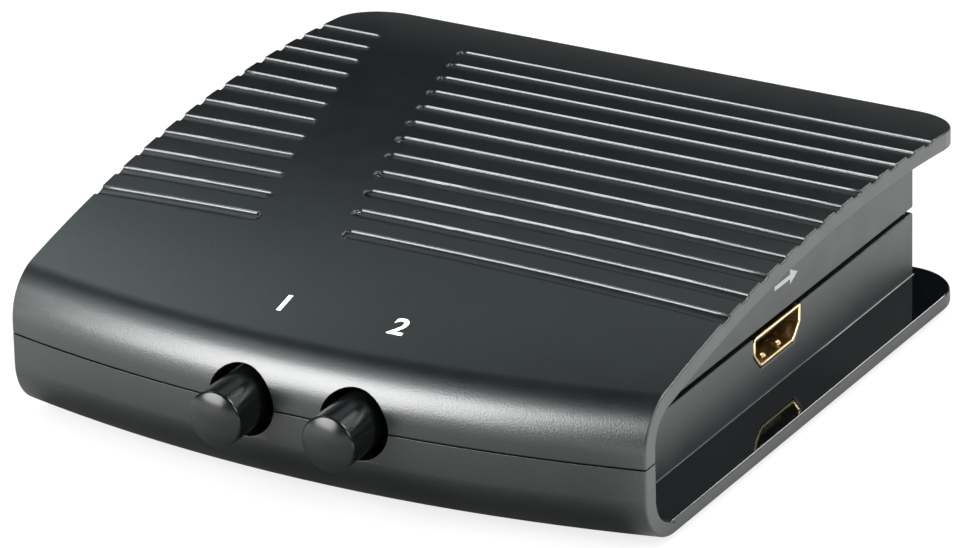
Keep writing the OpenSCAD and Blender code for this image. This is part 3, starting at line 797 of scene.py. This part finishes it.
# Rubber feet: rounded pads with a ring sunk into the face that stands
foot = {
    "round": 0.45 * mm,
    "roundSteps": 6,
    "ringOuter": 0.66,
    "ringInner": 0.42,
    "ringDepth": 0.25 * mm,
    "turns": 72,
}


def footProfile(radius, height):
    turn, steps = foot["round"], foot["roundSteps"]
    outer, inner, deep = radius * foot["ringOuter"], radius * foot["ringInner"], foot["ringDepth"]
    profile = [(0, 0), (0, inner), (deep, inner + deep), (deep, outer - deep), (0, outer)]
    for step in range(steps + 1):
        angle = pi / 2 * step / steps
        profile.append((turn - turn * cos(angle), radius - turn + turn * sin(angle)))
    profile.append((height, radius))
    profile.append((height, 0))
    return profile


def looseParts(node):
    obj = copyOfNode(node, "looseParts")
    editAll(obj)
    bpy.ops.mesh.separate(type="LOOSE")
    bpy.ops.object.mode_set(mode="OBJECT")
    places = []
    for part in list(bpy.context.selected_objects):
        corners = [vertex.co.copy() for vertex in part.data.vertices]
        low = Vector([min(corner[axis] for corner in corners) for axis in range(3)])
        high = Vector([max(corner[axis] for corner in corners) for axis in range(3)])
        places.append((low, high))
        bpy.data.objects.remove(part)
    return sorted(places, key=lambda place: (place[0].x, place[0].y))


def copyTo(obj, offset):
    activate(obj)
    bpy.ops.object.duplicate()
    twin = bpy.context.object
    twin.location = offset
    sitAtOrigin(twin)
    return twin


def repeatAt(first, places, name):
    home = (places[0][0] + places[0][1]) / 2
    twins = [first]
    for low, high in places[1:]:
        twins.append(copyTo(first, (low + high) / 2 - home))
    return joinPieces(twins, name)


footPlaces = looseParts("rubber_feet")
low, high = footPlaces[0]
middle = (low + high) / 2
footStart = Vector((middle.x, middle.y, low.z))
footShape = footProfile((high.x - low.x) / 2, high.z - low.z)
firstFoot = spinProfile("firstFoot", footShape, footStart, up, Vector((1, 0, 0)), foot["turns"])
feet = repeatAt(firstFoot, footPlaces, "rubberFeet")
feet.data.materials.append(made["footRubber"])
fitPiece(feet, "case", "rubber_feet")
print("feet made:", len(footPlaces))


# Sockets: plated shells with a rolled lip and spring tabs inside, and a moulded insert
socket = {
    "wall": 0.35 * mm,
    "edge": 0.1 * mm,
    "insertEdge": 0.06 * mm,
    "lip": 0.26 * mm,  # half the thickness of the rolled lip
    "lipCorner": 0.5 * mm,
    "lipSteps": 4,
}
tab = {
    "apart": 5 * mm,
    "inside": 0.9 * mm,
    "length": 2.4 * mm,
    "width": 0.95 * mm,
    "height": 0.55 * mm,
    "drop": 0.9,  # of its height that the far end runs back
    "edge": 0.08 * mm,
}


def selectWhere(obj, test):
    editAll(obj)
    bpy.ops.mesh.select_all(action="DESELECT")
    bpy.ops.object.mode_set(mode="OBJECT")
    for vertex in obj.data.vertices:
        vertex.select = test(vertex.co)
    bpy.ops.object.mode_set(mode="EDIT")


def makeTab(mouth, inward, lift):
    length, width, height = tab["length"], tab["width"], tab["height"]
    deselect()
    middle = mouth + inward * length / 2 + up * lift * height / 2
    bpy.ops.mesh.primitive_cube_add(size=1, location=middle, scale=(length, width, height))
    obj = newPiece("springTab")
    sitAtOrigin(obj)
    selectWhere(obj, lambda place: (place - middle).dot(inward) < 0 and (place.z - middle.z) * lift > 0)
    bpy.ops.transform.translate(value=inward * height)  # the front ramps up at 45 degrees
    selectWhere(obj, lambda place: (place - middle).dot(inward) > 0 and (place.z - middle.z) * lift > 0)
    drop = -up * lift * height * tab["drop"]  # the far end runs back into the wall
    bpy.ops.transform.translate(value=drop)
    bpy.ops.object.mode_set(mode="OBJECT")
    roundEdges(obj, tab["edge"])
    return obj


def makeLip(shell, mouthX, outward):
    corners = [vertex.co.copy() for vertex in shell.data.vertices]
    front = [corner for corner in corners if abs(corner.x - mouthX) < touch]
    middle = sum(front, Vector()) / len(front)
    points = []
    while front:  # the middle of the sheet lies between each inner corner and its outer mate
        corner = front.pop()
        mate = min(front, key=lambda place: (place - corner).length)
        front.remove(mate)
        points.append((corner + mate) / 2 - outward * socket["lip"])
    points.sort(key=lambda place: atan2(place.z - middle.z, place.y - middle.y))
    deselect()
    bpy.ops.mesh.primitive_circle_add(vertices=len(points), radius=mm)
    obj = newPiece("rolledLip")
    for vertex, point in zip(obj.data.vertices, points):
        vertex.co = point
    editAll(obj)
    bpy.ops.mesh.bevel(offset=socket["lipCorner"], segments=socket["lipSteps"], affect="VERTICES")
    bpy.ops.object.mode_set(mode="OBJECT")
    bpy.ops.object.convert(target="CURVE")
    obj.data.bevel_depth = socket["lip"]
    obj.data.bevel_resolution = socket["lipSteps"]
    bpy.ops.object.convert(target="MESH")
    obj = newPiece("rolledLip")
    bpy.ops.object.shade_smooth()
    return obj


def makeSocket(name):
    low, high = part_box(f"{name}_shell")
    mounts = {mount["name"]: mount for mount in frame["record"]["mounts"]}
    middle = Vector(mounts[f"{name}_socket"]["pos_m"])
    outward = Vector((1 if middle.x > 0 else -1, 0, 0))
    shell = copyOfNode(f"{name}_shell", f"{name}Shell")
    parts = [shell, makeLip(shell, middle.x, outward)]
    roundEdges(shell, socket["edge"], segments=2)
    halfHeight = high.z - socket["wall"] - middle.z
    for lift in (1, -1):
        for side in (-0.5, 0.5):
            mouth = middle - outward * tab["inside"] - up * lift * halfHeight
            mouth.y += side * tab["apart"]
            parts.append(makeTab(mouth, -outward, lift))
    shell = joinPieces(parts, f"{name}Shell")
    shell.data.materials.clear()
    shell.data.materials.append(made["socketGold"])
    fitPiece(shell, "case", f"{name}_shell")
    insert = copyOfNode(f"{name}_insert", f"{name}Insert")
    roundEdges(insert, socket["insertEdge"], segments=2)
    insert.data.materials.append(made["insertPlastic"])
    fitPiece(insert, "case", f"{name}_insert")


for name in ("output", "input_1", "input_2"):
    makeSocket(name)
print("sockets made")


# Legends: plain numbers by the buttons and the inputs, an arrow by the output
legend = {
    "size": 5.4 * mm,
    "bold": 0.1 * mm,
    "thick": 0.03 * mm,
    "wallSize": 3.4 * mm,
    "wallHeight": 18.9 * mm,
    "above": 100 * mm,  # from where the top is felt for
}
arrow = {
    "length": 5 * mm,
    "width": 0.7 * mm,
    "thick": 0.04 * mm,
    "head": 3.4,  # of the shaft's width
    "tip": 2.4 * mm,
    "step": 0.001 * mm,
    "shift": 1.5 * mm,
}
buttonNumbers = {"1": (-9.4 * mm, -39 * mm), "2": (9.8 * mm, -38.9 * mm)}


def makeNumber(text, name, place, right, face, size):
    deselect()
    facing = Matrix((right, face.cross(right), face)).transposed()
    bpy.ops.object.text_add(location=place, rotation=facing.to_euler())
    obj = newPiece(name)
    obj.data.body = text
    obj.data.size = size
    obj.data.offset = legend["bold"] * size / legend["size"]
    obj.data.extrude = legend["thick"]
    obj.data.align_x = "CENTER"
    obj.data.align_y = "CENTER"
    bpy.ops.object.convert(target="MESH")
    obj = newPiece(name)
    sitAtOrigin(obj)
    obj.data.materials.append(made["legendInk"])
    fitPiece(obj, "case")
    return obj


for text, (x, y) in buttonNumbers.items():
    place, face = topShell.ray_cast(Vector((x, y, legend["above"])), -up)[1:3]
    right = Vector((1, 0, 0))
    right = (right - face * right.dot(face)).normalized()
    makeNumber(text, f"buttonNumber{text}", place, right, face, legend["size"])

for text in ("1", "2"):
    low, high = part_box(f"input_{text}_shell")
    place = Vector((low.x, (low.y + high.y) / 2, legend["wallHeight"]))
    right, face = Vector((0, -1, 0)), Vector((-1, 0, 0))
    makeNumber(text, f"inputNumber{text}", place, right, face, legend["wallSize"])


def makeArrow(name, place, along, face):
    length, width, thick = arrow["length"], arrow["width"], arrow["thick"]
    side = face.cross(along)
    deselect()
    bpy.ops.mesh.primitive_plane_add(size=1)
    obj = newPiece(name)
    for vertex in obj.data.vertices:
        vertex.co = place + along * vertex.co.x * length + side * vertex.co.y * width
    selectWhere(obj, lambda spot: (spot - place).dot(along) > 0)
    bpy.ops.mesh.extrude_edges_move(TRANSFORM_OT_translate={"value": along * arrow["step"]})
    neck = place + along * length / 2
    bpy.ops.transform.resize(value=(1, arrow["head"], arrow["head"]), center_override=neck)
    bpy.ops.mesh.extrude_edges_move(TRANSFORM_OT_translate={"value": along * arrow["tip"]})
    bpy.ops.mesh.merge(type="CENTER")
    editAll(obj)
    bpy.ops.mesh.extrude_region_move(TRANSFORM_OT_translate={"value": face * thick})
    bpy.ops.mesh.select_all(action="SELECT")
    bpy.ops.mesh.normals_make_consistent(inside=False)
    bpy.ops.object.mode_set(mode="OBJECT")
    obj.data.materials.append(made["legendInk"])
    fitPiece(obj, "case")


low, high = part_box("output_shell")
arrowPlace = Vector((high.x, (low.y + high.y) / 2 + arrow["shift"], legend["wallHeight"]))
makeArrow("outputArrow", arrowPlace, Vector((0, 1, 0)), Vector((1, 0, 0)))
print("legends made")


# Case screws: the solids with their heads' edges turned over
screw = {"edge": 0.22 * mm, "angle": 50}
screws = copyOfNode("case_screws", "caseScrews")
roundEdges(screws, screw["edge"], angle=screw["angle"])
screws.data.materials.append(made["screwSteel"])
fitPiece(screws, "case", "case_screws")
print("screws made")


# Return springs: smooth-shaded copies of the solids
spring = {"travel": 3 * mm, "smooth": radians(60)}


def makeSpring(number):
    node = f"switch_{number}_spring"
    obj = copyOfNode(node, f"returnSpring{number}")
    bpy.ops.object.shade_smooth_by_angle(angle=spring["smooth"])
    obj.data.materials.append(made["springSteel"])
    fitPiece(obj, "case", node)
    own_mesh(obj)


for number in (1, 2):
    makeSpring(number)
print("springs made")


# Finishes of the solids that stay as they are
nodeFinishes = {
    "main_board": "boardLaminate",
    "board_screws": "screwSteel",
    "switch_chip": "chipResin",
    "chip_leads": "tinnedLeads",
    "capacitors": "canAluminium",
    "resistors": "chipCeramic",
    "contacts": "contactGold",
    "plunger": "plungerPlastic",
    "contact": "bridgeBrass",
    "housing": "switchPlastic",
    "cover": "switchPlastic",
    "terminals": "tinnedLeads",
}
for node, obj in frame["nodes"].items():
    finish = nodeFinishes.get(node) or nodeFinishes.get(node.split("_")[-1])
    if finish:
        obj.data.materials.clear()
        obj.data.materials.append(made[finish])
print("solids finished")
